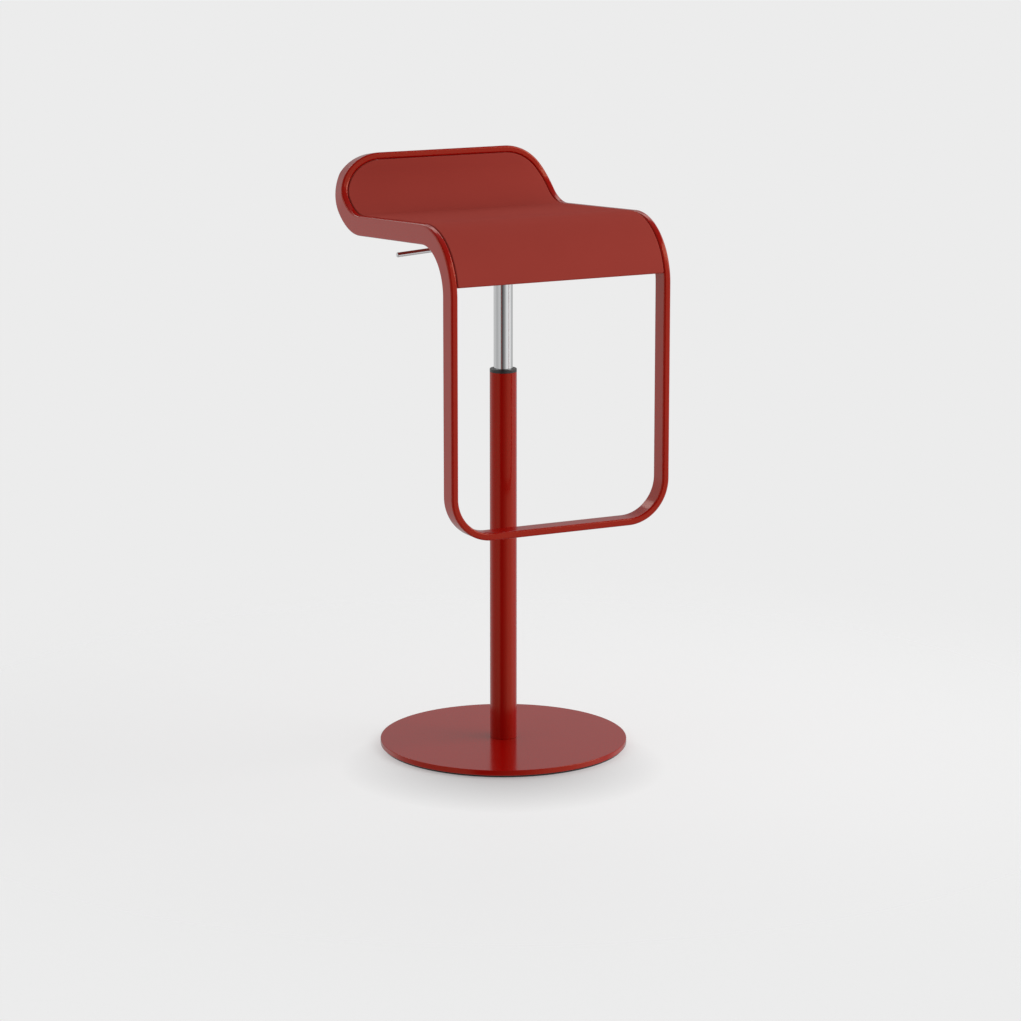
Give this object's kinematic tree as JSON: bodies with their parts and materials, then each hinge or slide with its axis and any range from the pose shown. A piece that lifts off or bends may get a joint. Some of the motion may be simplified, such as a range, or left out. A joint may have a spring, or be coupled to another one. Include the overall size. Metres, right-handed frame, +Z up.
{
  "type": "adjustable swivel stool",
  "caption": "Height-adjustable swivel bar stool: round foot disc, slim column, gas lift, one flat-tube loop as footrest, seat and back rim, and a formed seat panel.",
  "frame": {"origin": "on the column's axis at floor level, on the floor pad's lower face", "axes": "+Z up, -Y to the front (the footrest side), +X to the right as seen from the front; the release lever points to -X"},
  "size_m": [0.37, 0.4171, 0.8764],
  "materials": {
    "lacquer": "satin red powder coat",
    "panel": "matt red lacquer on formed plywood",
    "chrome": "polished chrome plate",
    "zinc_steel": "bright zinc plate",
    "dark_steel": "black phosphate and oil",
    "nylon": "moulded nylon",
    "rubber": "moulded rubber",
    "brass": "turned"
  },
  "bodies": {
    "base": {"floor_pad": "rubber", "foot_disc": "lacquer", "foot_bolt": "zinc_steel", "foot_dowels": "zinc_steel", "column_foot_plug": "dark_steel", "column_tube": "lacquer", "support_sleeve": "dark_steel", "anchor_plate": "dark_steel", "bearing_lower_race": "zinc_steel", "guide_bush": "nylon"},
    "ball_bearing": {"ball_cage": "brass", "bearing_balls": "zinc_steel"},
    "lift_rod": {"piston_rod": "chrome", "piston": "dark_steel", "piston_seal": "rubber", "bearing_upper_race": "zinc_steel", "bump_stop": "rubber", "rod_washer": "zinc_steel", "rod_clip": "dark_steel"},
    "seat": {"gas_cylinder": "chrome", "pressure_tube": "zinc_steel", "end_guide": "nylon", "rod_seal": "rubber", "valve_block": "brass", "taper_socket": "dark_steel", "mechanism_tray": "dark_steel", "tray_screws": "zinc_steel", "front_rail": "lacquer", "rear_rail": "lacquer", "lever_bracket": "dark_steel", "pivot_pin": "zinc_steel", "pivot_clip": "dark_steel", "footrest_tube": "lacquer", "back_rim_tube": "lacquer", "front_ledges": "lacquer", "back_tabs": "lacquer", "seat_panel": "panel", "panel_inserts": "brass", "panel_screws": "zinc_steel", "edge_inserts": "brass", "edge_screws": "zinc_steel"},
    "lever": {"release_lever": "chrome", "lever_rocker": "dark_steel"},
    "valve": {"valve_button": "zinc_steel"}
  },
  "joints": [
    {"name": "seat_swivel", "type": "hinge", "parent": "base", "child": "lift_rod", "pos_m": [0, 0, 0.3112], "axis": [0, 0, 1], "continuous": true},
    {"name": "bearing_roll", "type": "hinge", "parent": "base", "child": "ball_bearing", "pos_m": [0, 0, 0.3096], "axis": [0, 0, 1], "continuous": true},
    {"name": "seat_lift", "type": "slide", "parent": "lift_rod", "child": "seat", "axis": [0, 0, 1], "range_m": [-0.13, 0]},
    {"name": "lever_pull", "type": "hinge", "parent": "seat", "child": "lever", "pos_m": [-0.028, 0, 0.76114], "axis": [0, 1, 0], "range_deg": [0, 6], "stiffness_Nm_per_rad": 1, "springref_deg": -5.73},
    {"name": "valve_press", "type": "slide", "parent": "seat", "child": "valve", "axis": [0, 0, -1], "range_m": [0, 0.0027]}
  ],
  "couplings": [
    {"joint": "bearing_roll", "follows": "seat_swivel", "ratio": 0.5},
    {"joint": "valve_press", "follows": "lever_pull", "m_per_rad": 0.0248}
  ]
}
